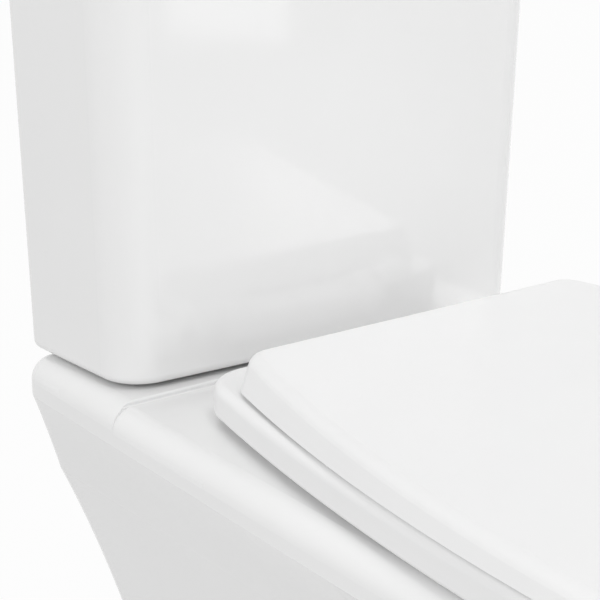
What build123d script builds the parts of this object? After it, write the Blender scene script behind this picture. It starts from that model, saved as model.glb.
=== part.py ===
from build123d import *
import math
import os

# Close coupled toilet. Millimetres. While modelling, the wall is the plane y = 0, the front is -y
# and the floor is z = 0. Each finished piece is moved so that the origin is under the middle.

# Overall
overall_depth = 650.0
china_wall = 9.0
deck_thickness = 12.0
soft_gap = 0.3
running_gap = 0.05
cut_past = 1.0

# Places measured back from the front of the seat
front_to_pan = 8.0
front_to_flare = 24.0
front_to_neck = 36.0
front_to_waist = 54.0
front_to_shin = 70.0
front_to_foot = 75.0
front_to_seat_middle = 113.0
front_to_sump = 172.0
front_to_aperture = 195.0
front_to_bowl = 204.0
front_to_pan_middle = 210.0
front_to_weir = 358.0

# Pan. Each swell is how much wider a section is at the middle than at the back.
rim_z = 417.5
shelf_step = 3.0
shelf_depth = 131.0
step_edge_r = 2.0
pan_corner_r = 18.0
rim_edge_r = 15.0
shelf_edge_r = 16.5
pan_half_width = 181.0
pan_back = 8.0
rim_swell = 3.0
skirt_z = 394.0
flare_half_width = 172.5
flare_back = 9.0
flare_swell = -4.5
neck_z = 338.0
neck_rear_half = 165.5
neck_back = 12.0
neck_half_width = 158.0
waist_half_width = 128.0
waist_back = 30.0
waist_swell = 3.0
shin_half_width = 111.0
shin_back = 60.0
shin_swell = 4.0
foot_half_width = 105.0
foot_back = 80.0
foot_swell = 9.0
opening_inset = 2.0

# Bowl and trap
bowl_half_width = 128.0
bowl_half_length = 166.0
sump_half_width = 44.0
sump_z = 128.0
outlet_z = 190.0
outlet_end = 150.0
outlet_r = 51.0
trap_bore_r = 40.0
trap_seal = 50.0
trap_bend_r = 62.0
trap_fall = 50.0
trap_rise = 62.0

# Floor fixing
floor_screw_spacing = 140.0
floor_screw_at = 150.0
floor_screw_hole_r = 4.5
lug_size = 44.0
lug_height = 16.0

# Coupling between pan and cistern
tank_gap = 3.0
flush_at = 64.0
inlet_boss_r = 54.0
inlet_boss_drop = 76.0
inlet_bore_r = 28.0
recess_r = 46.0
recess_depth = 12.5
duct_r = 31.0
duct_bore_r = 22.0
duct_drop = 43.0
gasket_r = 44.0
gasket_bore_r = 34.0
coupling_spacing = 160.0
coupling_bolt_r = 4.0
coupling_hole_r = 7.0

# Cistern
tank_half_width = 174.3
tank_depth = 122.0
tank_height = 330.0
tank_wall = 10.0
tank_floor = 12.0
tank_front_r = 30.0
tank_back_r = 18.0
tank_back_trim = 1.0
tank_base_r = 6.0
front_bow = 5.7
side_draft = 1.24
front_draft = 1.0
plan_taper = 3.3
lid_overhang = 2.0
lid_height = 32.0
lid_top = 14.0
lid_edge_r = 6.0
lip_drop = 10.0
lip_width = 6.0
lip_gap = 2.0
wall_screw_spacing = 240.0
wall_screw_drop = 48.0
wall_screw_hole_r = 3.5

# Flush valve
valve_tail_r = 25.0
valve_bore_r = 21.0
valve_flange_r = 40.0
valve_flange = 6.0
valve_tail_drop = 30.0
washer_thickness = 3.0
tower_r = 38.0
tower_wall = 3.5
tower_height = 114.0
tower_cap = 4.0
lift_tube_r = 14.0
lift_tube_bore_r = 11.5
lift_tube_top = 220.0
seal_r = 28.0
seal_thickness = 4.0
float_ring_r = 28.0
float_ring_height = 50.0
float_ring_up = 34.0
rocker_z_up = 248.0
rocker_arm = 19.0
rocker_end = 4.0
rocker_width = 6.0
rocker_height = 5.0
rocker_pin_r = 2.0
rod_offset = 12.0
rod_r = 2.5
lift_tab_gap = 2.0
lift_tab = 4.0

# Buttons in the lid
bezel_r = 34.0
bezel_height = 4.0
sleeve_r = 24.0
sleeve_wall = 3.0
sleeve_length = 40.0
button_gap = 0.4
button_height = 6.0
guide_drop = 14.0
guide_height = 3.0

# Fill valve
fill_at_x = 112.0
inlet_thread_r = 10.48
inlet_tail_drop = 47.0
shank_relief = 0.2
fill_nut_height = 8.0
shelf_inlet_r = 20.0
riser_r = 12.0
riser_bore_r = 7.0
riser_height = 194.0
fill_flange_r = 18.0
head_r = 19.0
head_height = 28.0
float_cup_r = 32.0
float_cup_height = 55.0
float_cup_up = 102.0
link_rod_r = 1.8
link_offset = 26.0
float_lever_pivot = 8.0
float_lever_height = 4.0
float_lever_width = 6.0
float_pin_r = 1.5
outlet_tube_r = 6.0
outlet_tube_bore_r = 4.5
outlet_tube_offset = 42.0
outlet_tube_length = 175.0

# Seat and cover
seat_rest = 4.5
seat_thickness = 20.5
seat_half_width = 182.0
seat_rear_half = 138.5
seat_rear = 167.0
seat_corner_r = 32.0
seat_edge_r = 6.0
seat_under_r = 3.0
seat_level = 0.1
aperture_half_width = 105.0
aperture_half_length = 142.0
cover_gap = 2.5
cover_rear = 200.0
cover_rear_half = 138.0
cover_corner_r = 22.0
cover_half_width = 184.0
cover_inset = 3.5
cover_lean = 14.0
cover_rear_height = 23.0
cover_middle_height = 17.0
cover_front_height = 13.0
cover_wall = 5.0
cover_edge_r = 8.0
cover_crown_shift = 70.0
profile_past = 10.0
buffer_r = 9.0
seat_buffer_x = 132.0
buffer_step = 205.0
cover_buffer_r = 6.0
cover_buffer_x = 144.0
cover_boss_r = 8.0

# Seat hinges
hinge_at = 180.0
hinge_rise = 1.0
stud_ahead = 14.0
stud_spacing = 155.0
stud_r = 4.0
stud_hole_r = 7.0
stud_in = 8.0
hinge_base_r = 9.5
hinge_base = 3.0
post_width = 17.0
post_depth = 21.0
post_behind = 2.0
knuckle_r = 8.0
knuckle_width = 16.5
knuckle_gap = 1.5
pin_r = 4.0
arm_depth = 12.0
pin_end = 8.0
notch_gap = 2.0

# Fasteners
rubber_washer = 3.0
steel_washer = 1.5
washer_r = 12.0
wing_nut_r = 8.0
wing_nut_height = 10.0
wing_span = 15.0
wing_width = 4.0
bolt_head_r = 7.0
bolt_head = 6.0
bolt_past_nut = 10.0

# Levels and places that follow from the sizes above
pan_front = overall_depth - front_to_pan
flare_front = overall_depth - front_to_flare
neck_front = overall_depth - front_to_neck
waist_front = overall_depth - front_to_waist
shin_front = overall_depth - front_to_shin
foot_front = overall_depth - front_to_foot
pan_wide_at = overall_depth - front_to_pan_middle
bowl_at = overall_depth - front_to_bowl
sump_at = overall_depth - front_to_sump
weir_at = overall_depth - front_to_weir
seat_wide_at = overall_depth - front_to_seat_middle
aperture_at = overall_depth - front_to_aperture
seat_buffer_places = [(seat_buffer_x, seat_wide_at - buffer_step), (seat_buffer_x, seat_wide_at)]
cover_buffer_places = [(cover_buffer_x, seat_wide_at - buffer_step), (cover_buffer_x, seat_wide_at)]
shelf_z = rim_z + shelf_step
ceiling_z = rim_z - deck_thickness
tank_z = shelf_z + tank_gap
tank_top = tank_z + tank_height
tank_inside_z = tank_z + tank_floor
lid_z = tank_top + lid_height
lid_ceiling = lid_z - lid_top
valve_z = tank_inside_z + washer_thickness + valve_flange
tower_top = valve_z + tower_height
tube_z = valve_z + seal_thickness
rocker_z = valve_z + rocker_z_up
rocker_pivot_y = -flush_at - rocker_arm
seat_z = rim_z + seat_rest
seat_top = seat_z + seat_thickness
cover_z = seat_top + cover_gap
hinge_z = seat_top + hinge_rise
stud_y = -hinge_at - stud_ahead
seat_front = overall_depth
cover_front = overall_depth - cover_inset

os.makedirs("parts", exist_ok=True)


def export(name, *solids):
    """Writes one node, moved so that the origin is under the middle of the whole."""
    to_middle = Pos(0, overall_depth / 2, 0)
    bodies = [to_middle * solid for one in solids for solid in one.solids()]
    export_step(bodies[0] if len(bodies) == 1 else Compound(children=bodies), f"parts/{name}.step")


def disc(r, z0, z1, x=0.0, y=0.0):
    """Upright cylinder between two heights."""
    return Pos(x, y, z0) * Cylinder(r, z1 - z0, align=(Align.CENTER, Align.CENTER, Align.MIN))


def ring(r, bore, z0, z1, x=0.0, y=0.0):
    """Upright tube between two heights."""
    return disc(r, z0, z1, x, y) - disc(bore, z0 - 1, z1 + 1, x, y)


def block(x0, x1, y0, y1, z0, z1):
    """Box between two corners."""
    return Pos((x0 + x1) / 2, (y0 + y1) / 2, (z0 + z1) / 2) * Box(abs(x1 - x0), abs(y1 - y0), abs(z1 - z0))


def rod_x(r, x0, x1, y, z):
    """Cylinder along x."""
    return Pos((x0 + x1) / 2, y, z) * Rot(0, 90, 0) * Cylinder(r, abs(x1 - x0))


def rod_y(r, y0, y1, x, z):
    """Cylinder along y."""
    return Pos(x, (y0 + y1) / 2, z) * Rot(90, 0, 0) * Cylinder(r, abs(y1 - y0))


def both_sides(x, make):
    """The same piece at x and at -x."""
    return [make(x), make(-x)]


def d_outline(back, half_back, wide_at, half_wide, front, corner_r):
    """Plan outline with a straight back, bowed sides and an elliptical front, as a face on z = 0."""
    right = EllipticalCenterArc((0, -wide_at), half_wide, front - wide_at, 270)
    side = TangentArc((half_wide, -wide_at), (half_back, -back), tangent=(0, 1))
    half = Wire([*right.edges(), *side.edges()])
    other = half.mirror(Plane.YZ)
    rear = Line((half_back, -back), (-half_back, -back))
    face = make_face([*half.edges(), *other.edges(), *rear.edges()])
    corners = face.vertices().group_by(Axis.Y)[-1]
    return fillet(corners, corner_r)


def tank_outline(z, inset, back_inset):
    """Plan outline of the cistern at a height, moved inwards, as a face at that height."""
    up = z - tank_z
    half = tank_half_width + up * math.tan(math.radians(side_draft))
    depth = tank_depth + up * math.tan(math.radians(front_draft))
    front_half = half - depth * math.tan(math.radians(plan_taper))
    y_front = -depth + inset
    back = Line((half - inset, -back_inset), (inset - half, -back_inset))
    left = Line((inset - half, -back_inset), (inset - front_half, y_front))
    front = ThreePointArc((inset - front_half, y_front), (0, y_front - front_bow), (front_half - inset, y_front))
    right = Line((front_half - inset, y_front), (half - inset, -back_inset))
    face = make_face([back, left, front, right])
    corners = face.vertices().group_by(Axis.Y)
    front_r = max(tank_front_r - inset, tank_wall / 2)
    back_r = max(tank_back_r - inset, tank_wall / 2)
    face = fillet(corners[0], front_r)
    return Pos(0, 0, z) * fillet(face.vertices().group_by(Axis.Y)[-1], back_r)


def pan_levels():
    """Sections of the pan from the floor to the skirt: height, back, half width there, half width
    at the widest place, front. The first four shape the body, the last three the flare of the rim."""
    return [
        (0.0, foot_back, foot_half_width, foot_half_width + foot_swell, foot_front),
        (neck_z / 3, shin_back, shin_half_width, shin_half_width + shin_swell, shin_front),
        (neck_z * 2 / 3, waist_back, waist_half_width, waist_half_width + waist_swell, waist_front),
        (neck_z, neck_back, neck_rear_half, neck_half_width, neck_front),
        ((neck_z + skirt_z) / 2, flare_back, flare_half_width, flare_half_width + flare_swell, flare_front),
        (skirt_z, pan_back, pan_half_width, pan_half_width + rim_swell, pan_front),
    ]


def pan_sections(inset, corner_r):
    """The sections as faces, moved inwards by inset."""
    return [
        Pos(0, 0, z)
        * d_outline(back + inset, half_back - inset, pan_wide_at, half_wide - inset, front - inset, corner_r)
        for z, back, half_back, half_wide, front in pan_levels()
    ]


def pan_body(sections):
    """Solid through the sections, with the neck under the rim as a crease."""
    return loft(sections[:4]) + loft(sections[3:])


def pan_outer():
    """Outside of the pan: foot, waist, skirt, rim and the raised cistern shelf."""
    sections = pan_sections(0, pan_corner_r)
    rim = extrude(sections[-1], rim_z - skirt_z)
    rim = fillet(rim.edges().group_by(Axis.Z)[-1], rim_edge_r)
    shelf = extrude(sections[-1], shelf_z - skirt_z)
    shelf = fillet(shelf.edges().group_by(Axis.Z)[-1], shelf_edge_r)
    return pan_body(sections) + rim + (shelf & shelf_profile())


def shelf_profile():
    """Side profile that keeps the raised shelf at the back, with a rounded step at its front."""
    front = -shelf_depth
    foot_r = shelf_step - step_edge_r
    edges = [
        Line((10, skirt_z), (10, shelf_z)),
        Line((10, shelf_z), (front + step_edge_r, shelf_z)),
        RadiusArc((front + step_edge_r, shelf_z), (front, shelf_z - step_edge_r), -step_edge_r),
        RadiusArc((front, rim_z + foot_r), (front - foot_r, rim_z), foot_r),
        Line((front - foot_r, rim_z), (front - foot_r, skirt_z)),
        Line((front - foot_r, skirt_z), (10, skirt_z)),
    ]
    face = Plane.YZ * make_face(edges)
    return extrude(face, pan_half_width + 10, both=True)


def pan_cavity():
    """Hollow under the pan, with the open back."""
    sections = pan_sections(china_wall, pan_corner_r - china_wall / 2)
    hollow = pan_body(sections) + extrude(sections[-1], ceiling_z - skirt_z)
    sides = [(half_back - china_wall - opening_inset, z) for z, _, half_back, _, _ in pan_levels()[:4]]
    outline = sides + [(-x, z) for x, z in reversed(sides)]
    opening = extrude(Plane.XZ * make_face(Polyline(*outline, close=True)), foot_back + 20)
    hollow += Pos(0, 10, 0) * opening
    lug_in = (floor_screw_spacing - lug_size) / 2
    lug_back = -floor_screw_at + lug_size / 2
    for side in (1, -1):
        hollow -= block(side * lug_in, side * pan_half_width, lug_back - lug_size, lug_back, -1, lug_height)
    return hollow


def bowl(grow):
    """Inside of the bowl as a funnel, made larger all round by grow."""
    depth = rim_z - sump_z
    stations = [(0.0, 1.0, 0.0), (0.3, 0.9, 0.0), (0.65, 0.55, 0.4), (1.0, 0.0, 1.0)]
    sections = []
    for down, spread, shift in stations:
        half_x = sump_half_width + (bowl_half_width - sump_half_width) * spread + grow
        half_y = sump_half_width + (bowl_half_length - sump_half_width) * spread + grow
        at = bowl_at + (sump_at - bowl_at) * shift
        sections.append(Pos(0, -at, rim_z - depth * down) * Ellipse(half_x, half_y))
    return loft(sections)


def trap_path():
    """Centre line of the trap: down from the sump, up to the weir and out of the back."""
    turn = (trap_fall + trap_rise) / 2
    lean = (trap_rise - trap_fall) / 2
    low_z = outlet_z - 2 * trap_bore_r - trap_seal
    dip_z = low_z + trap_bend_r * (1 - math.cos(math.radians(lean)) / math.cos(math.radians(turn)))
    climb = (outlet_z - dip_z) / math.tan(math.radians(trap_rise))
    dip_y = -weir_at - climb
    start_z = sump_z + china_wall
    start_y = dip_y - (start_z - dip_z) / math.tan(math.radians(trap_fall))
    points = [(0, start_y, start_z), (0, dip_y, dip_z), (0, -weir_at, outlet_z), (0, -outlet_end, outlet_z)]
    return FilletPolyline(*points, radius=trap_bend_r)


def along(path, r):
    """Round bar along a path."""
    return sweep(Plane(path @ 0, z_dir=path % 0) * Circle(r), path=path)


def make_pan():
    """The china pan in one piece."""
    outer = pan_outer()
    path = trap_path()
    duct_z = shelf_z - duct_drop
    pan = outer - pan_cavity()
    bowl_outer = bowl(china_wall)
    inlet_boss = disc(inlet_boss_r, shelf_z - inlet_boss_drop, ceiling_z + 2, 0, -flush_at)
    duct = rod_y(duct_r, -flush_at, -bowl_at, 0, duct_z)
    pan = pan + bowl_outer + along(path, outlet_r) + inlet_boss + duct
    pan -= bowl(0.0)
    pan -= along(path, trap_bore_r)
    pan -= disc(recess_r, shelf_z - recess_depth, shelf_z + 1, 0, -flush_at)
    pan -= disc(inlet_bore_r, duct_z - duct_bore_r, shelf_z, 0, -flush_at)
    pan -= rod_y(duct_bore_r, -flush_at, -bowl_at, 0, duct_z)
    for x in (coupling_spacing / 2, -coupling_spacing / 2):
        pan -= disc(coupling_hole_r, ceiling_z - 5, shelf_z + 1, x, -flush_at)
    for x in (stud_spacing / 2, -stud_spacing / 2):
        pan -= disc(stud_hole_r, ceiling_z - 5, rim_z + 1, x, stud_y)
    for x in (floor_screw_spacing / 2, -floor_screw_spacing / 2):
        pan -= disc(floor_screw_hole_r, -1, lug_height + 1, x, -floor_screw_at)
    pan -= disc(shelf_inlet_r, ceiling_z - 5, shelf_z + 1, fill_at_x, -flush_at)
    return pan


def make_tank():
    """The china cistern body, open at the top, its back cut flat for the wall."""
    tank = loft([tank_outline(z, 0, -tank_back_trim) for z in (tank_z, tank_top)])
    tank = fillet(tank.edges().group_by(Axis.Z)[0], tank_base_r)
    past = tank_half_width + lid_height
    tank -= block(-past, past, 0, tank_back_trim + cut_past, tank_z - cut_past, tank_top + cut_past)
    over = tank_top + cut_past
    tank -= loft([tank_outline(tank_inside_z, tank_wall, tank_wall), tank_outline(over, tank_wall, tank_wall)])
    tank -= disc(inlet_bore_r, tank_z - 1, tank_inside_z + 1, 0, -flush_at)
    for x in (coupling_spacing / 2, -coupling_spacing / 2):
        tank -= disc(coupling_hole_r, tank_z - 1, tank_inside_z + 1, x, -flush_at)
    tank -= disc(inlet_thread_r + 1, tank_z - 1, tank_inside_z + 1, fill_at_x, -flush_at)
    for x in (wall_screw_spacing / 2, -wall_screw_spacing / 2):
        tank -= rod_y(wall_screw_hole_r, 1, -tank_wall - 1, x, tank_top - wall_screw_drop)
    return tank


def make_lid():
    """The china cistern lid, hollow below, with a lip inside the tank."""
    lid = extrude(tank_outline(tank_top, -lid_overhang, 0), lid_height)
    lid = fillet(lid.edges().group_by(Axis.Z)[-1], lid_edge_r)
    lip_out = tank_wall + lip_gap
    lip = Pos(0, 0, -lip_drop) * extrude(tank_outline(tank_top, lip_out, lip_out), lip_drop)
    lid += lip
    lip_in = lip_out + lip_width
    hollow = Pos(0, 0, -lip_drop) * extrude(tank_outline(tank_top, lip_in, lip_in), lip_drop + lid_height - lid_top)
    lid -= hollow
    return lid - disc(sleeve_r + soft_gap, tank_top, lid_z + 1, 0, -flush_at)


def wing_nut(top, bore_r, x, y):
    """Wing nut hanging below a level."""
    low = top - wing_nut_height
    nut = disc(wing_nut_r, low, top, x, y)
    nut += block(x - wing_span, x + wing_span, y - wing_width / 2, y + wing_width / 2, low + 1, top - 2)
    return nut - disc(bore_r + running_gap, low - 1, top + 1, x, y)


def make_coupling():
    """Gasket, bolts, washers and wing nuts between cistern and pan."""
    export("coupling_gasket", ring(gasket_r, gasket_bore_r, shelf_z - recess_depth, tank_z, 0, -flush_at))
    head_z = tank_inside_z + rubber_washer
    under = ceiling_z - rubber_washer - steel_washer
    bolt_end = under - wing_nut_height - bolt_past_nut
    at = coupling_spacing / 2
    export("coupling_bolts", *both_sides(at, lambda x: (
        disc(bolt_head_r, head_z, head_z + bolt_head, x, -flush_at)
        + disc(coupling_bolt_r, bolt_end, head_z, x, -flush_at)
    )))
    bore = coupling_bolt_r + soft_gap
    export("coupling_tank_washers", *both_sides(
        at, lambda x: ring(washer_r, bore, tank_inside_z, head_z, x, -flush_at)))
    export("coupling_shelf_washers", *both_sides(
        at, lambda x: ring(washer_r, bore, ceiling_z - rubber_washer, ceiling_z, x, -flush_at)))
    export("coupling_steel_washers", *both_sides(
        at, lambda x: ring(washer_r, bore, under, ceiling_z - rubber_washer, x, -flush_at)))
    export("coupling_wing_nuts", *both_sides(at, lambda x: wing_nut(under, coupling_bolt_r, x, -flush_at)))


def make_flush_valve():
    """Outlet valve in the middle of the cistern, with its rockers."""
    y = -flush_at
    flange_z = valve_z - valve_flange
    tail = disc(valve_tail_r, tank_z - valve_tail_drop, valve_z, 0, y)
    base = tail + disc(valve_flange_r, flange_z, valve_z, 0, y)
    export("flush_valve_base", base - disc(valve_bore_r, 0, valve_z + 1, 0, y))
    tail_hole = valve_tail_r + soft_gap
    export("flush_valve_washer", ring(valve_flange_r, tail_hole, tank_inside_z, flange_z, 0, y))
    nut = Pos(0, y, tank_z - recess_depth + 1) * extrude(RegularPolygon(gasket_bore_r - 2, 8), recess_depth - 1)
    export("flush_valve_back_nut", nut - disc(tail_hole, 0, tank_z + 1, 0, y))

    tower = ring(tower_r, tower_r - tower_wall, valve_z, tower_top, 0, y)
    window = tower_r * 0.9
    window_low = valve_z + tower_cap * 2
    window_high = tower_top - tower_cap * 3
    tower -= block(-window / 2, window / 2, y - tower_r, y + tower_r, window_low, window_high)
    tower -= block(-tower_r, tower_r, y - window / 2, y + window / 2, window_low, window_high)
    tower += ring(tower_r, lift_tube_r + soft_gap, tower_top, tower_top + tower_cap, 0, y)
    ear_half = rod_offset - rocker_width / 2 - 2
    ear_back = -flush_at - lift_tube_r - 1
    ear_front = 2 * rocker_pivot_y - ear_back
    tower += block(-ear_half, ear_half, ear_front, ear_back, tower_top + tower_cap, rocker_z + rocker_height)
    tower -= rod_x(rocker_pin_r + running_gap, -ear_half - 1, ear_half + 1, rocker_pivot_y, rocker_z)
    export("flush_valve_tower", tower)

    pin_half = rod_offset + rocker_width / 2 + 1
    export("rocker_pin", rod_x(rocker_pin_r, -pin_half, pin_half, rocker_pivot_y, rocker_z))
    for name, side in (("full_flush_rocker", 1), ("half_flush_rocker", -1)):
        x = side * rod_offset
        rocker = block(
            x - rocker_width / 2,
            x + rocker_width / 2,
            rocker_pivot_y - rocker_arm - rocker_end,
            rocker_pivot_y + rocker_arm + rocker_end,
            rocker_z - rocker_height / 2,
            rocker_z + rocker_height / 2,
        )
        hole = rod_x(rocker_pin_r + running_gap, x - rocker_width, x + rocker_width, rocker_pivot_y, rocker_z)
        export(name, rocker - hole)

    tube_top = valve_z + lift_tube_top
    tube = disc(lift_tube_r, tube_z, tube_top, 0, y) + disc(seal_r - 1, tube_z, tube_z + seal_thickness, 0, y)
    arm_x0 = ear_half + 1
    arm_x1 = rod_offset + rocker_width / 2
    arm_z = tube_top - lift_tab * 4
    tab_low = rocker_z + rocker_height / 2 + lift_tab_gap
    arm_front = rocker_pivot_y - rocker_arm - rocker_end - 3 * lift_tab
    tab_back = rocker_pivot_y - rocker_arm + rocker_end
    collar = disc(lift_tube_r + 5, arm_z, arm_z + lift_tab * 1.5, 0, y)
    tube += collar & block(arm_x0, tower_r, y - tower_r, y + tower_r, arm_z, tube_top)
    tube += block(arm_x0, arm_x1, arm_front, y - lift_tube_r + 2, arm_z, arm_z + lift_tab * 1.5)
    tube += block(arm_x0, arm_x1, arm_front, arm_front + lift_tab, arm_z, tab_low + lift_tab)
    tube += block(arm_x0, arm_x1, arm_front, tab_back, tab_low, tab_low + lift_tab)
    export("lift_tube", tube - disc(lift_tube_bore_r, 0, tube_top + 1, 0, y))
    export("flush_seal", ring(seal_r, lift_tube_bore_r, valve_z, tube_z, 0, y))
    float_low = valve_z + float_ring_up
    float_bore = lift_tube_r + running_gap
    export("half_flush_float", ring(float_ring_r, float_bore, float_low, float_low + float_ring_height, 0, y))


def make_buttons():
    """Two flush buttons in a round bezel in the lid."""
    y = -flush_at
    bore = sleeve_r - sleeve_wall
    sleeve_low = lid_z - sleeve_length
    top = lid_z + bezel_height
    guide_top = top - button_height - guide_drop
    bezel = disc(bezel_r, lid_z, top, 0, y)
    bezel = fillet(bezel.edges().group_by(Axis.Z)[-1], bezel_height / 2)
    bezel += disc(sleeve_r, sleeve_low, lid_z, 0, y)
    bezel -= disc(bore, guide_top, top + 1, 0, y)
    bezel -= disc(bore, sleeve_low - 1, guide_top - guide_height, 0, y)
    for x in (rod_offset, -rod_offset):
        bezel -= disc(rod_r + soft_gap, sleeve_low, top, x, y)
    export("button_bezel", bezel)
    nut_low = lid_ceiling - wing_nut_height
    export("button_nut", ring(bezel_r, sleeve_r + soft_gap, nut_low, lid_ceiling, 0, y))
    face_r = bore - button_gap
    rod_low = rocker_z + rocker_height / 2 + soft_gap
    for name, side in (("full_flush", 1), ("half_flush", -1)):
        face = disc(face_r, top - button_height, top, 0, y)
        face = face & block(side * button_gap, side * bore, y - bore, y + bore, 0, top)
        rod = disc(rod_r, rod_low, top - button_height, side * rod_offset, y)
        export(name + "_button", face + rod)
        spring_r = rod_r + soft_gap
        spring = ring(spring_r + 1.2, spring_r, guide_top, top - button_height, side * rod_offset, y)
        export(name + "_spring", spring)


def make_fill_valve():
    """Inlet valve with its float, on the right of the cistern."""
    x, y = fill_at_x, -flush_at
    flange_z = tank_inside_z + washer_thickness
    riser_z = flange_z + valve_flange
    head_z = riser_z + riser_height
    thread_top = tank_z - fill_nut_height - 1
    shank = disc(inlet_thread_r - shank_relief, thread_top, riser_z, x, y)
    shank += disc(inlet_thread_r, tank_z - inlet_tail_drop, thread_top, x, y)
    riser = shank + disc(fill_flange_r, flange_z, riser_z, x, y) + disc(riser_r, riser_z, head_z, x, y)
    export("fill_valve_riser", riser - disc(riser_bore_r, 0, head_z + 1, x, y))
    hole = inlet_thread_r + soft_gap
    export("fill_valve_washer", ring(fill_flange_r, hole, tank_inside_z, flange_z, x, y))
    nut = Pos(x, y, tank_z - fill_nut_height) * extrude(RegularPolygon(fill_flange_r - 1, 6), fill_nut_height)
    export("fill_valve_back_nut", nut - disc(hole, 0, tank_z, x, y))

    head_top = head_z + head_height
    lever_z = head_top + float_lever_height * 2
    pivot_y = y - float_lever_pivot
    half = float_lever_width / 2 + 0.5
    head = disc(head_r, head_z, head_top, x, y)
    head += block(x - outlet_tube_offset - outlet_tube_r - 2, x, y - 8, y + 8, head_z + 4, head_z + 18)
    for ear in (x - half - 3.5, x + half):
        head += block(ear, ear + 3.5, pivot_y - 5, pivot_y + 5, head_top, lever_z + 4)
    head -= rod_x(float_pin_r + running_gap, x - 10, x + 10, pivot_y, lever_z)
    tube_x = x - outlet_tube_offset
    tube_top = head_z + 10
    head -= disc(outlet_tube_r + running_gap, 0, tube_top, tube_x, y)
    export("fill_valve_head", head)
    export("float_lever_pin", rod_x(float_pin_r, x - half - 3.5, x + half + 3.5, pivot_y, lever_z))
    tube_low = tube_top - outlet_tube_length
    export("fill_outlet_tube", ring(outlet_tube_r, outlet_tube_bore_r, tube_low, tube_top, tube_x, y))

    cup_low = riser_z + float_cup_up
    cup_top = cup_low + float_cup_height
    rod_top = lever_z - float_lever_height / 2 - soft_gap
    cup = ring(float_cup_r, riser_r + soft_gap, cup_low, cup_top, x, y)
    cup -= ring(float_cup_r - 3, riser_r + 4, cup_low - 1, cup_top - 3, x, y)
    cup += disc(link_rod_r, cup_top - 1, rod_top, x, y + link_offset)
    export("float_cup", cup)
    lever_back = y + link_offset + 5
    lever = block(
        x - float_lever_width / 2,
        x + float_lever_width / 2,
        pivot_y - 4,
        lever_back,
        lever_z - float_lever_height / 2,
        lever_z + float_lever_height / 2,
    )
    export("float_lever", lever - rod_x(float_pin_r + running_gap, x - 10, x + 10, pivot_y, lever_z))


def knuckles(inner_x):
    """Hinge knuckle on the seat or cover, its width measured outwards from inner_x."""
    return rod_x(knuckle_r, inner_x, inner_x + knuckle_width, -hinge_at, hinge_z)


def make_seat():
    """Seat ring with its knuckles and buffers."""
    outline = d_outline(seat_rear, seat_rear_half, seat_wide_at, seat_half_width, seat_front, seat_corner_r)
    seat = extrude(Pos(0, 0, seat_z) * outline, seat_thickness)
    opening = Pos(0, -aperture_at, seat_z) * Ellipse(aperture_half_width, aperture_half_length)
    seat -= extrude(opening, seat_thickness)
    for z, edge_r in ((seat_top, seat_edge_r), (seat_z, seat_under_r)):
        seat = fillet(seat.edges().filter_by_position(Axis.Z, z - seat_level, z + seat_level), edge_r)
    middle = stud_spacing / 2
    post_half = post_width / 2
    seat_inner = middle - post_half - knuckle_gap - knuckle_width
    notch_in = middle - post_half - knuckle_gap
    notch_out = middle + post_half + knuckle_gap + knuckle_width + knuckle_gap
    notch_front = stud_y - post_depth / 2 - notch_gap
    for side in (1, -1):
        notch = block(side * notch_in, side * notch_out, 0, notch_front, seat_z - 1, seat_top + 1)
        seat -= notch
        inner = seat_inner if side > 0 else -seat_inner - knuckle_width
        seat += knuckles(inner)
        seat -= rod_x(pin_r + running_gap, side * (seat_inner - pin_end), side * notch_in, -hinge_at, hinge_z)
    export("seat_ring", seat)
    pads = [
        disc(buffer_r, rim_z + soft_gap, seat_z, side * x, -y)
        for x, y in seat_buffer_places
        for side in (1, -1)
    ]
    export("seat_buffers", *pads)


def cover_profile(drop):
    """Side profile under the cover's top, which rises towards the hinges, lowered by drop."""
    rear = (-cover_rear + profile_past, cover_z + cover_rear_height - drop)
    middle_at = (cover_rear + cover_front) / 2 - cover_crown_shift
    middle = (-middle_at, cover_z + cover_middle_height - drop)
    front = (-cover_front - profile_past, cover_z + cover_front_height - drop)
    low = cover_z - profile_past
    edges = [
        ThreePointArc(rear, middle, front),
        Line(front, (front[0], low)),
        Line((front[0], low), (rear[0], low)),
        Line((rear[0], low), rear),
    ]
    return extrude(Plane.YZ * make_face(edges), cover_half_width + profile_past, both=True)


def cover_outline(inset):
    """Plan outline of the cover, moved inwards by inset, as a face on z = 0."""
    return d_outline(
        cover_rear + inset,
        cover_rear_half - inset,
        seat_wide_at,
        cover_half_width - inset,
        cover_front - inset,
        cover_corner_r - inset,
    )


def cover_body(inset):
    """The cover as a closed solid with leaning sides and a curved top, smaller all round by inset."""
    height = cover_rear_height + profile_past
    lean = height * math.tan(math.radians(cover_lean))
    lower = Pos(0, 0, cover_z) * cover_outline(inset)
    upper = Pos(0, 0, cover_z + height) * cover_outline(inset + lean)
    return loft([lower, upper]) & cover_profile(inset)


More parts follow.
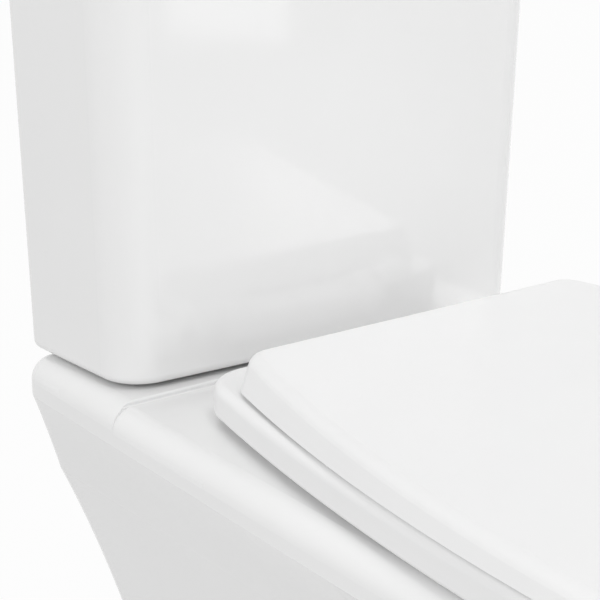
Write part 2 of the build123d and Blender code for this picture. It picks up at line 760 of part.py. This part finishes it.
def make_cover():
    """Seat cover, a shell with a soft edge, its knuckles and its buffers."""
    cover = cover_body(0)
    tops = cover.edges().filter_by(lambda edge: edge.bounding_box().min.Z > cover_z + cover_wall)
    cover = fillet(tops, cover_edge_r)
    cover -= cover_body(cover_wall)
    middle = stud_spacing / 2
    outer = middle + post_width / 2 + knuckle_gap
    inside = cover_body(cover_wall / 2)
    for side in (1, -1):
        inner = outer if side > 0 else -outer - knuckle_width
        cover += knuckles(inner)
        arm = (inner, inner + knuckle_width, -cover_rear - arm_depth, -hinge_at)
        cover += block(*arm, hinge_z, hinge_z + knuckle_r)
        cover += block(*arm, cover_z, cover_z + cover_rear_height) & inside
        end = outer + knuckle_width + pin_end
        cover -= rod_x(pin_r + running_gap, side * outer, side * end, -hinge_at, hinge_z)
    places = [(side * x, -y) for x, y in cover_buffer_places for side in (1, -1)]
    for x, y in places:
        cover += disc(cover_boss_r, cover_z, cover_z + cover_rear_height, x, y) & inside
    export("seat_cover", cover)
    export("cover_buffers", *[disc(cover_buffer_r, seat_top + soft_gap, cover_z, x, y) for x, y in places])


def make_hinges():
    """Posts, pins, studs, washers and wing nuts that hold the seat to the pan."""
    middle = stud_spacing / 2
    post_half = post_width / 2
    reach = post_half + knuckle_gap + knuckle_width
    for name, side in (("right", 1), ("left", -1)):
        x = side * middle
        post = disc(hinge_base_r, rim_z, rim_z + hinge_base, x, stud_y)
        rear = -hinge_at - post_behind
        post += block(x - post_half, x + post_half, rear - post_depth, rear, rim_z + hinge_base, hinge_z)
        post += rod_x(knuckle_r, x - post_half, x + post_half, -hinge_at, hinge_z)
        post -= rod_x(pin_r + running_gap, x - post_half - 1, x + post_half + 1, -hinge_at, hinge_z)
        post -= disc(stud_r + running_gap, rim_z - 1, rim_z + stud_in, x, stud_y)
        export(f"hinge_post_{name}", post)
        export(f"hinge_pin_{name}", rod_x(pin_r, x - reach, x + reach, -hinge_at, hinge_z))
    under = ceiling_z - rubber_washer
    stud_end = under - wing_nut_height - bolt_past_nut
    export("hinge_studs", *both_sides(middle, lambda x: disc(stud_r, stud_end, rim_z + stud_in, x, stud_y)))
    export("hinge_rubber_washers", *both_sides(
        middle, lambda x: ring(washer_r, stud_r + soft_gap, under, ceiling_z, x, stud_y)))
    export("hinge_wing_nuts", *both_sides(middle, lambda x: wing_nut(under, stud_r, x, stud_y)))


export("pan", make_pan())
export("cistern_tank", make_tank())
export("cistern_lid", make_lid())
make_coupling()
make_flush_valve()
make_buttons()
make_fill_valve()
make_seat()
make_cover()
make_hinges()
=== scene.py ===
import logging
import math
from dataclasses import dataclass, field
from enum import Enum
from typing import Any, ClassVar, Union

import bmesh
import bpy
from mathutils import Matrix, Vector


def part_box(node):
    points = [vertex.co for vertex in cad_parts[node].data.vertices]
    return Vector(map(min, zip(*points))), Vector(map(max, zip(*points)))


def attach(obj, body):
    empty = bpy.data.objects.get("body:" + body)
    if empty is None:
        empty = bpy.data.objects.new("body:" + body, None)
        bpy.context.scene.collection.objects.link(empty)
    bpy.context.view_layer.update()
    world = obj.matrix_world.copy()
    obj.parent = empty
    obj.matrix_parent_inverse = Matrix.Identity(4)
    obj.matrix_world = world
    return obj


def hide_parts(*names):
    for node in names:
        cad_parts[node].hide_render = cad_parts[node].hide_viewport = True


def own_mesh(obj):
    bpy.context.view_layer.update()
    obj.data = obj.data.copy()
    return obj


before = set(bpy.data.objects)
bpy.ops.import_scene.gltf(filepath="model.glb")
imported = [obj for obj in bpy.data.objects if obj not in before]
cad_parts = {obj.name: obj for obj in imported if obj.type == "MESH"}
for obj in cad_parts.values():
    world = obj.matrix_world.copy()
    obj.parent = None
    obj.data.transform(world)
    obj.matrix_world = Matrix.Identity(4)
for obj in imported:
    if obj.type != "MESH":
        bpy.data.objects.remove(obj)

log = logging.getLogger("toilet")
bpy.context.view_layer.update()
STANDING_BODY = "pan_and_cistern"
UP = Vector((0, 0, 1))
WHITE = (1.0, 1.0, 1.0, 1.0)
Colour = tuple[float, float, float]
Stretch = tuple[float, float, float]


class Sock:
    """A shader socket that can be used in Python arithmetic; each operation adds a Math node."""

    def __init__(self, shader: "Shader", socket: bpy.types.NodeSocket) -> None:
        """Keeps the socket and the shader that it belongs to."""
        self.shader = shader
        self.socket = socket

    def _math(self, operation: str, first: Any, second: Any) -> "Sock":
        """Adds a Math node.

        Args:
            operation: the Math node's operation.
            first: the first value or socket.
            second: the second value or socket.

        Returns:
            The node's result.
        """
        return self.shader.node("ShaderNodeMath", {"operation": operation}, {0: first, 1: second}).out(0)

    def __add__(self, other: Any) -> "Sock":
        """self + other"""
        return self._math("ADD", self, other)

    def __radd__(self, other: Any) -> "Sock":
        """other + self"""
        return self._math("ADD", other, self)

    def __sub__(self, other: Any) -> "Sock":
        """self - other"""
        return self._math("SUBTRACT", self, other)

    def __rsub__(self, other: Any) -> "Sock":
        """other - self"""
        return self._math("SUBTRACT", other, self)

    def __mul__(self, other: Any) -> "Sock":
        """self * other"""
        return self._math("MULTIPLY", self, other)

    def __rmul__(self, other: Any) -> "Sock":
        """other * self"""
        return self._math("MULTIPLY", other, self)

    def largest(self, other: Any) -> "Sock":
        """The larger of the two."""
        return self._math("MAXIMUM", self, other)


class Made:
    """A shader node that was just added."""

    def __init__(self, shader: "Shader", node: bpy.types.Node) -> None:
        """Keeps the node."""
        self.shader = shader
        self.node = node

    def out(self, key: Union[int, str]) -> Sock:
        """One of the node's outputs, by number or name."""
        return Sock(self.shader, self.node.outputs[key])


class Shader:
    """A node tree being written, for a material or for the world.

    A Mix node repeats its socket names for each kind of data, so its colour sockets are taken by number.
    """

    mix_amount: ClassVar[int] = 0
    mix_first: ClassVar[int] = 6
    mix_second: ClassVar[int] = 7
    mix_result: ClassVar[int] = 2

    def __init__(self, tree: bpy.types.NodeTree) -> None:
        """Empties the tree."""
        self.tree = tree
        tree.nodes.clear()

    def node(self, kind: str, settings: dict[str, Any], values: dict[Any, Any]) -> Made:
        """Adds any node.

        Args:
            kind: the node's Blender type.
            settings: properties set first.
            values: input sockets by number or name, each a value or a Sock.

        Returns:
            The node, wrapped.
        """
        made = self.tree.nodes.new(kind)
        for name, value in settings.items():
            setattr(made, name, value)
        for key, value in values.items():
            if isinstance(value, Sock):
                self.tree.links.new(value.socket, made.inputs[key])
            else:
                made.inputs[key].default_value = value
        return Made(self, made)

    def place(self) -> Sock:
        """The point being shaded, in the part's own frame."""
        return self.node("ShaderNodeTexCoord", {}, {}).out("Object")

    def height(self) -> Sock:
        """How high the point is above the floor, in metres."""
        return self.node("ShaderNodeSeparateXYZ", {}, {0: self.place()}).out("Z")

    def noise(self, scale: float, detail: float, stretch: Stretch = (1.0, 1.0, 1.0)) -> Sock:
        """Noise from 0 to 1 in the part's own frame.

        Args:
            scale: cycles per metre.
            detail: octaves.
            stretch: how much each axis is multiplied first.

        Returns:
            The noise value.
        """
        mapped = self.node("ShaderNodeMapping", {}, {"Vector": self.place(), "Scale": stretch})
        values = {"Vector": mapped.out("Vector"), "Scale": scale, "Detail": detail}
        return self.node("ShaderNodeTexNoise", {}, values).out(0)

    def step(self, value: Sock, low: float, high: float) -> Sock:
        """A smooth change from 0 to 1 while a value goes from low to high.

        Args:
            value: what is compared.
            low: where the change starts.
            high: where it ends.

        Returns:
            The share, from 0 to 1.
        """
        values = {"Value": value, "From Min": low, "From Max": high}
        return self.node("ShaderNodeMapRange", {"interpolation_type": "SMOOTHSTEP"}, values).out("Result")

    def mix(self, amount: Any, first: Any, second: Any) -> Sock:
        """Colour between two, by an amount from 0 to 1.

        Args:
            amount: share of the second colour.
            first: colour, or a Sock that carries one.
            second: colour, or a Sock that carries one.

        Returns:
            The mixed colour.
        """
        colours = [value if isinstance(value, Sock) else (*value, 1.0) for value in (first, second)]
        values = {self.mix_amount: amount, self.mix_first: colours[0], self.mix_second: colours[1]}
        return self.node("ShaderNodeMix", {"data_type": "RGBA"}, values).out(self.mix_result)

    def bump(self, height: Sock, distance: float, strength: float) -> Sock:
        """Normal bent by a height.

        Args:
            height: the height, from 0 to 1.
            distance: what a height of 1 measures, in metres.
            strength: share of the effect.

        Returns:
            The normal.
        """
        values = {"Strength": strength, "Distance": distance, "Height": height}
        return self.node("ShaderNodeBump", {}, values).out("Normal")

    def surface(self, values: dict[str, Any]) -> None:
        """Ends the tree with a Principled shader.

        Args:
            values: the shader's sockets by name, each a value or a Sock.
        """
        shader = self.node("ShaderNodeBsdfPrincipled", {}, values)
        self.node("ShaderNodeOutputMaterial", {}, {"Surface": shader.out("BSDF")})

    def seen(self) -> Sock:
        """1 for rays that show the background: from the camera, a mirror or glass."""
        path = self.node("ShaderNodeLightPath", {}, {})
        mirror = path.out("Is Glossy Ray").largest(path.out("Is Transmission Ray"))
        return path.out("Is Camera Ray").largest(mirror)


def new_material(name: str) -> tuple[bpy.types.Material, Shader]:
    """An empty material and its shader.

    Args:
        name: the material's name.

    Returns:
        The material and its tree.
    """
    material = bpy.data.materials.new(name)
    material.use_nodes = True
    return material, Shader(material.node_tree)


@dataclass(frozen=True)
class Glaze:
    """Fired white glaze over china: smooth, with a slow wave, faint pooling and a bare foot."""

    name: str = "white_glaze"
    thin: Colour = (0.800, 0.800, 0.798)
    thick: Colour = (0.835, 0.835, 0.835)
    bare: Colour = (0.62, 0.58, 0.52)
    bare_below: float = 0.0025
    glazed_above: float = 0.005
    pooling_scale: float = 9.0
    pooling_detail: float = 3.0
    haze_scale: float = 54.0
    haze_detail: float = 4.0
    haze_roughness: float = 0.05
    wave_scale: float = 38.0
    wave_detail: float = 1.0
    wave_height: float = 0.00012
    wave_strength: float = 0.35
    roughness: float = 0.07
    bare_roughness: float = 0.5
    index: float = 1.52
    coat: float = 0.25
    coat_roughness: float = 0.03

    def material(self) -> bpy.types.Material:
        """Builds the glaze's material."""
        material, shader = new_material(self.name)
        pooling = shader.noise(self.pooling_scale, self.pooling_detail)
        haze = shader.noise(self.haze_scale, self.haze_detail)
        wave = shader.noise(self.wave_scale, self.wave_detail)
        glazed = shader.step(shader.height(), self.bare_below, self.glazed_above)
        glaze = shader.mix(pooling, self.thin, self.thick)
        shader.surface({
            "Base Color": shader.mix(glazed, self.bare, glaze),
            "Roughness": self.roughness + haze * self.haze_roughness + (1 - glazed) * self.bare_roughness,
            "IOR": self.index,
            "Coat Weight": glazed * self.coat,
            "Coat Roughness": self.coat_roughness,
            "Normal": shader.bump(wave, self.wave_height, self.wave_strength),
        })
        return material


@dataclass(frozen=True)
class Plastic:
    """Moulded plastic with a fine skin."""

    name: str
    pale: Colour
    dark: Colour
    roughness: float
    grain_scale: float
    grain_height: float
    grain_detail: float = 2.0
    grain_roughness: float = 0.08
    grain_strength: float = 0.3
    cloud_scale: float = 14.0
    cloud_detail: float = 3.0
    index: float = 1.49

    def material(self) -> bpy.types.Material:
        """Builds the plastic's material."""
        material, shader = new_material(self.name)
        cloud = shader.noise(self.cloud_scale, self.cloud_detail)
        grain = shader.noise(self.grain_scale, self.grain_detail)
        shader.surface({
            "Base Color": shader.mix(cloud, self.dark, self.pale),
            "Roughness": self.roughness + grain * self.grain_roughness,
            "IOR": self.index,
            "Normal": shader.bump(grain, self.grain_height, self.grain_strength),
        })
        return material


@dataclass(frozen=True)
class Rubber:
    """Soft dark rubber with a dusty bloom."""

    name: str = "soft_rubber"
    dark: Colour = (0.018, 0.018, 0.019)
    bloom: Colour = (0.045, 0.045, 0.046)
    roughness: float = 0.62
    dust_scale: float = 120.0
    dust_detail: float = 4.0
    dust_roughness: float = 0.2
    dust_height: float = 0.00005
    dust_strength: float = 0.4

    def material(self) -> bpy.types.Material:
        """Builds the rubber's material."""
        material, shader = new_material(self.name)
        dust = shader.noise(self.dust_scale, self.dust_detail)
        shader.surface({
            "Base Color": shader.mix(dust, self.dark, self.bloom),
            "Roughness": self.roughness + dust * self.dust_roughness,
            "Normal": shader.bump(dust, self.dust_height, self.dust_strength),
        })
        return material


@dataclass(frozen=True)
class Metal:
    """Bright or brushed metal with handling marks."""

    name: str
    colour: Colour
    smudge: Colour
    roughness: float
    brush: Stretch = (1.0, 1.0, 1.0)
    brush_scale: float = 300.0
    brush_detail: float = 3.0
    brush_height: float = 0.00001
    brush_strength: float = 0.3
    brush_roughness: float = 0.1
    smudge_scale: float = 45.0
    smudge_detail: float = 3.0
    smudge_roughness: float = 0.04

    def material(self) -> bpy.types.Material:
        """Builds the metal's material."""
        material, shader = new_material(self.name)
        lines = shader.noise(self.brush_scale, self.brush_detail, self.brush)
        smudge = shader.noise(self.smudge_scale, self.smudge_detail)
        shader.surface({
            "Base Color": shader.mix(smudge, self.colour, self.smudge),
            "Metallic": 1.0,
            "Roughness": self.roughness + lines * self.brush_roughness + smudge * self.smudge_roughness,
            "Normal": shader.bump(lines, self.brush_height, self.brush_strength),
        })
        return material


class Finish(Enum):
    """The finishes of the toilet's pieces, each with a short name."""

    CHINA = "china"
    SEAT = "seat_plastic"
    VALVE = "valve_plastic"
    RUBBER = "rubber"
    STEEL = "steel"
    CHROME = "chrome"


Nodes = dict[Finish, tuple[str, ...]]


class Finishes:
    """All the finishes, made once."""

    sharp_angle: ClassVar[float] = math.radians(32)

    def __init__(self) -> None:
        """Builds each material."""
        white = Plastic(
            name="seat_white",
            pale=(0.845, 0.845, 0.845),
            dark=(0.815, 0.815, 0.815),
            roughness=0.26,
            grain_scale=420.0,
            grain_height=0.00003,
        )
        cream = Plastic(
            name="valve_white",
            pale=(0.74, 0.75, 0.74),
            dark=(0.66, 0.67, 0.66),
            roughness=0.36,
            grain_scale=900.0,
            grain_height=0.00002,
        )
        steel = Metal(
            name="plain_steel",
            colour=(0.55, 0.55, 0.56),
            smudge=(0.46, 0.46, 0.47),
            roughness=0.26,
            brush=(1.0, 1.0, 9.0),
        )
        chrome = Metal(
            name="chrome_plate",
            colour=(0.72, 0.72, 0.73),
            smudge=(0.66, 0.66, 0.67),
            roughness=0.05,
        )
        self.materials = {
            Finish.CHINA: Glaze().material(),
            Finish.SEAT: white.material(),
            Finish.VALVE: cream.material(),
            Finish.RUBBER: Rubber().material(),
            Finish.STEEL: steel.material(),
            Finish.CHROME: chrome.material(),
        }

    def dress(self, piece: bpy.types.Object, finish: Finish) -> None:
        """Gives a piece its finish and smooth shading.

        Args:
            piece: the piece's mesh object.
            finish: which finish.
        """
        piece.data.materials.clear()
        piece.data.materials.append(self.materials[finish])
        piece.data.shade_smooth()
        piece.data.set_sharp_from_angle(angle=self.sharp_angle)


@dataclass
class Helix:
    """A round wire wound about an upright axis."""

    name: str
    centre: Vector
    low: float
    high: float
    radius: float
    wire: float
    pitch: float
    steps: int = 28
    sides: int = 8

    def build(self) -> bpy.types.Object:
        """Sweeps the wire's section along the helix.

        Returns:
            The new object.
        """
        turns = (self.high - self.low - 2 * self.wire) / self.pitch
        count = max(2, round(turns * self.steps))
        body = bmesh.new()
        rings = [self._ring(body, turns * index / count) for index in range(count + 1)]
        for first, second in zip(rings, rings[1:]):
            for side in range(self.sides):
                after = (side + 1) % self.sides
                body.faces.new((first[side], first[after], second[after], second[side]))
        body.faces.new(list(reversed(rings[0])))
        body.faces.new(rings[-1])
        bmesh.ops.recalc_face_normals(body, faces=body.faces)
        mesh = bpy.data.meshes.new(self.name)
        body.to_mesh(mesh)
        body.free()
        piece = bpy.data.objects.new(self.name, mesh)
        bpy.context.scene.collection.objects.link(piece)
        return piece

    def _ring(self, body: bmesh.types.BMesh, turn: float) -> list[bmesh.types.BMVert]:
        """One section of the wire.

        Args:
            body: the mesh being written.
            turn: how far along the helix, in turns.

        Returns:
            The section's corners in order.
        """
        angle = turn * math.tau
        outward = Vector((math.cos(angle), math.sin(angle), 0))
        middle = Vector((self.centre.x, self.centre.y, self.low + self.wire + turn * self.pitch))
        middle += outward * self.radius
        corners = [math.tau * side / self.sides for side in range(self.sides)]
        return [
            body.verts.new(middle + self.wire * (outward * math.cos(corner) + UP * math.sin(corner)))
            for corner in corners
        ]


@dataclass
class SubAssembly:
    """Pieces that are made and dressed together.

    A thread is a round wire. Its radius is a share of the pitch, and a share of that radius sinks into
    the shank.
    """

    finishes: Finishes
    nodes: ClassVar[Nodes] = {}
    thread_wire: ClassVar[float] = 0.28
    thread_sink: ClassVar[float] = 0.35
    thread_steps: ClassVar[int] = 18
    thread_sides: ClassVar[int] = 6

    def build(self) -> None:
        """Makes the pieces that the solids lack; most sub-assemblies have none."""

    def dress(self) -> None:
        """Dresses each of the sub-assembly's solids."""
        for finish, names in self.nodes.items():
            for name in names:
                self.finishes.dress(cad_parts[name], finish)
                log.info("dressed %s as %s", name, finish.value)

    def add(self, helix: Helix, finish: Finish, body: str) -> bpy.types.Object:
        """Builds a helix, dresses it and lets it ride on a body.

        Args:
            helix: the wire to build.
            finish: its finish.
            body: the body that carries it.

        Returns:
            The new piece.
        """
        piece = helix.build()
        self.finishes.dress(piece, finish)
        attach(piece, body)
        log.info("made %s", helix.name)
        return piece

    def threads(self, name: str, places: list[Vector], low: float, high: float, radius: float, pitch: float,
                finish: Finish) -> None:
        """Adds a screw thread to each of a row of equal shanks that stand on the pan and cistern.

        Args:
            name: the thread's name, to which a number is added.
            places: the shanks' axes.
            low: lower end of the thread.
            high: upper end of the thread.
            radius: the shank's radius.
            pitch: distance from turn to turn.
            finish: the thread's finish.
        """
        wire = pitch * self.thread_wire
        for number, place in enumerate(places, 1):
            helix = Helix(
                name=f"{name}_{number}",
                centre=place,
                low=low,
                high=high,
                radius=radius - wire * self.thread_sink,
                wire=wire,
                pitch=pitch,
                steps=self.thread_steps,
                sides=self.thread_sides,
            )
            self.add(helix, finish, STANDING_BODY)

    @staticmethod
    def pair(low: Vector, high: Vector, edge: float) -> list[Vector]:
        """The axes of two equal shanks that stand right and left in one box.

        Args:
            low: the box's lower corner.
            high: the box's upper corner.
            edge: distance from the box's sides to the axes.

        Returns:
            The right axis and the left axis.
        """
        middle = (low + high) / 2
        reach = high.x - edge
        return [Vector((side * reach, middle.y, 0)) for side in (1, -1)]


class Pan(SubAssembly):
    """The china pan."""

    nodes: ClassVar[Nodes] = {Finish.CHINA: ("pan",)}


class Cistern(SubAssembly):
    """The china cistern body."""

    nodes: ClassVar[Nodes] = {Finish.CHINA: ("cistern_tank",)}


@dataclass
class LidAndButtons(SubAssembly):
    """The cistern lid with its two flush buttons and their return springs."""

    nodes: ClassVar[Nodes] = {
        Finish.CHINA: ("cistern_lid",),
        Finish.CHROME: ("button_bezel", "full_flush_button", "half_flush_button"),
        Finish.VALVE: ("button_nut",),
        Finish.STEEL: ("full_flush_spring", "half_flush_spring"),
    }
    springs: ClassVar[dict[str, str]] = {
        "full_flush_spring": "full_press",
        "half_flush_spring": "half_press",
    }
    spring_wire: float = 0.0006
    spring_pitch: float = 0.0028
    pressed: float = 0.5

    def build(self) -> None:
        """Makes a coil in place of each spring's plain sleeve."""
        for name, joint in self.springs.items():
            low, high = (Vector(corner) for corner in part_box(name))
            centre = (low + high) / 2
            radius = (high.x - low.x) / 2 - self.spring_wire
            coil = Helix(name + "_coil", centre, low.z, high.z, radius, self.spring_wire, self.spring_pitch)
            piece = self.add(coil, Finish.STEEL, "lid")
            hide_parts(name)
            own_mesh(piece)


class FlushValve(SubAssembly):
    """The outlet valve in the middle of the cistern."""

    nodes: ClassVar[Nodes] = {
        Finish.VALVE: (
            "flush_valve_base", "flush_valve_back_nut", "flush_valve_tower", "lift_tube", "half_flush_float",
            "full_flush_rocker", "half_flush_rocker",
        ),
        Finish.RUBBER: ("flush_valve_washer", "flush_seal"),
        Finish.STEEL: ("rocker_pin",),
    }


@dataclass
class FillValve(SubAssembly):
    """The inlet valve with its float, and the threaded tail below the cistern."""

    nodes: ClassVar[Nodes] = {
        Finish.VALVE: (
            "fill_valve_riser", "fill_valve_back_nut", "fill_valve_head", "float_cup", "float_lever",
            "fill_outlet_tube",
        ),
        Finish.RUBBER: ("fill_valve_washer",),
        Finish.STEEL: ("float_lever_pin",),
    }
    tail_radius: float = 0.01048
    tail_pitch: float = 0.0018
    tail_clear: float = 0.002

    def build(self) -> None:
        """Makes the thread on the inlet tail."""
        low, high = (Vector(corner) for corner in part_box("fill_valve_riser"))
        nut_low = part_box("fill_valve_back_nut")[0][2]
        top = nut_low - self.tail_clear
        place = (low + high) / 2
        self.threads("inlet_thread", [place], low.z, top, self.tail_radius, self.tail_pitch, Finish.VALVE)


@dataclass
class Coupling(SubAssembly):
    """The gasket and the two bolts that hold the cistern on the pan."""

    nodes: ClassVar[Nodes] = {
        Finish.RUBBER: ("coupling_gasket", "coupling_tank_washers", "coupling_shelf_washers"),
        Finish.STEEL: ("coupling_bolts", "coupling_steel_washers", "coupling_wing_nuts"),
    }
    head_radius: float = 0.007
    shank_radius: float = 0.004
    pitch: float = 0.00125

    def build(self) -> None:
        """Makes the thread on the bolts' free ends."""
        low, high = (Vector(corner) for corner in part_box("coupling_bolts"))
        places = self.pair(low, high, self.head_radius)
        nut_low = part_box("coupling_wing_nuts")[0][2]
        self.threads("coupling_thread", places, low.z, nut_low, self.shank_radius, self.pitch, Finish.STEEL)


class SeatAndCover(SubAssembly):
    """The seat ring, its cover and their buffers."""

    nodes: ClassVar[Nodes] = {
        Finish.SEAT: ("seat_ring", "seat_cover"),
        Finish.RUBBER: ("seat_buffers", "cover_buffers"),
    }


@dataclass
class Hinges(SubAssembly):
    """The two hinge posts of the seat with their studs and wing nuts."""

    nodes: ClassVar[Nodes] = {
        Finish.CHROME: ("hinge_post_left", "hinge_post_right"),
        Finish.STEEL: ("hinge_pin_left", "hinge_pin_right", "hinge_studs"),
        Finish.RUBBER: ("hinge_rubber_washers",),
        Finish.VALVE: ("hinge_wing_nuts",),
    }
    stud_radius: float = 0.004
    pitch: float = 0.00125

    def build(self) -> None:
        """Makes the thread on the studs' free ends."""
        low, high = (Vector(corner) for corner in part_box("hinge_studs"))
        places = self.pair(low, high, self.stud_radius)
        nut_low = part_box("hinge_wing_nuts")[0][2]
        self.threads("stud_thread", places, low.z, nut_low, self.stud_radius, self.pitch, Finish.STEEL)


@dataclass(frozen=True)
class Lamp:
    """A soft rectangular lamp."""

    name: str
    place: Vector
    target: Vector
    width: float
    height: float
    power: float

    def build(self) -> None:
        """Hangs the lamp."""
        data = bpy.data.lights.new(self.name, "AREA")
        data.shape = "RECTANGLE"
        data.size = self.width
        data.size_y = self.height
        data.energy = self.power
        lamp = bpy.data.objects.new(self.name, data)
        lamp.location = self.place
        lamp.rotation_euler = (self.target - self.place).to_track_quat("-Z", "Y").to_euler()
        bpy.context.scene.collection.objects.link(lamp)


@dataclass
class Studio:
    """Grey floor that reads as white, white surroundings and soft lamps."""

    floor_size: float = 14.0
    floor_cells: int = 4
    floor_colour: Colour = (0.55, 0.55, 0.55)
    floor_white: float = 0.965
    surround: float = 0.57
    lamps: tuple[Lamp, ...] = (
        Lamp(
            name="overhead",
            place=Vector((-0.3, -0.9, 2.6)),
            target=Vector((0, 0, 0.4)),
            width=0.8,
            height=0.8,
            power=9.5,
        ),
        Lamp(
            name="left_fill",
            place=Vector((-2.6, -0.7, 1.9)),
            target=Vector((0, 0, 0.5)),
            width=1.6,
            height=1.6,
            power=37.0,
        ),
        Lamp(
            name="right_fill",
            place=Vector((2.0, -1.9, 1.3)),
            target=Vector((0, 0, 0.5)),
            width=1.4,
            height=1.4,
            power=25.0,
        ),
        Lamp(
            name="window",
            place=Vector((0.915, -1.535, 0.9)),
            target=Vector((-0.085, 0.197, 0.9)),
            width=0.35,
            height=1.2,
            power=1.5,
        ),
    )

    def build(self) -> None:
        """Makes the floor, the world and the lamps."""
        self._floor()
        self._world()
        for lamp in self.lamps:
            lamp.build()
            log.info("hung %s lamp", lamp.name)

    def _floor(self) -> None:
        """A flat grey floor that keeps a faint shadow and reads as white to the camera."""
        mesh = bpy.data.meshes.new("floor")
        body = bmesh.new()
        cells = self.floor_cells
        bmesh.ops.create_grid(body, x_segments=cells, y_segments=cells, size=self.floor_size / 2)
        body.to_mesh(mesh)
        body.free()
        floor = bpy.data.objects.new("floor", mesh)
        bpy.context.scene.collection.objects.link(floor)
        material, shader = new_material("floor_paint")
        paint = shader.node("ShaderNodeBsdfDiffuse", {}, {"Color": (*self.floor_colour, 1.0)})
        white = shader.node("ShaderNodeEmission", {}, {"Color": WHITE, "Strength": 1.0})
        both = {0: shader.seen() * self.floor_white, 1: paint.out(0), 2: white.out(0)}
        mixed = shader.node("ShaderNodeMixShader", {}, both)
        shader.node("ShaderNodeOutputMaterial", {}, {"Surface": mixed.out(0)})
        mesh.materials.append(material)

    def _world(self) -> None:
        """White to the camera and in reflections, and a plain even light elsewhere."""
        world = bpy.data.worlds.new("studio")
        world.use_nodes = True
        bpy.context.scene.world = world
        shader = Shader(world.node_tree)
        strength = self.surround + shader.seen() * (1.0 - self.surround)
        sky = shader.node("ShaderNodeBackground", {}, {"Color": WHITE, "Strength": strength})
        shader.node("ShaderNodeOutputWorld", {}, {"Surface": sky.out(0)})


@dataclass
class PhotoCamera:
    """The camera at the photograph's place, in front of the toilet on its left."""

    place: Vector = field(default_factory=lambda: Vector((-0.62785, -0.60317, 0.77066)))
    turn: float = 36.51
    tilt: float = 17.27
    lens: float = 94.47
    sensor: float = 36.0
    near: float = 0.05
    far: float = 60.0

    def build(self) -> None:
        """Makes the camera and gives it to the scene."""
        turn = math.radians(self.turn)
        tilt = math.radians(self.tilt)
        flat = math.cos(tilt)
        ahead = Vector((math.sin(turn) * flat, math.cos(turn) * flat, -math.sin(tilt)))
        data = bpy.data.cameras.new("photo_camera")
        data.lens = self.lens
        data.sensor_width = self.sensor
        data.clip_start = self.near
        data.clip_end = self.far
        camera = bpy.data.objects.new("photo_camera", data)
        camera.location = self.place
        camera.rotation_euler = ahead.to_track_quat("-Z", "Y").to_euler()
        bpy.context.scene.collection.objects.link(camera)
        bpy.context.scene.camera = camera


def main() -> None:
    """Builds the camera, each sub-assembly and the studio in order."""
    logging.basicConfig(level=logging.INFO, format="%(message)s")
    bpy.context.scene.view_settings.view_transform = "Standard"
    PhotoCamera().build()
    finishes = Finishes()
    makers = (Pan, Cistern, LidAndButtons, FlushValve, FillValve, Coupling, SeatAndCover, Hinges)
    for maker in makers:
        part = maker(finishes)
        part.build()
        part.dress()
    Studio().build()


if __name__ == "__main__":
    main()
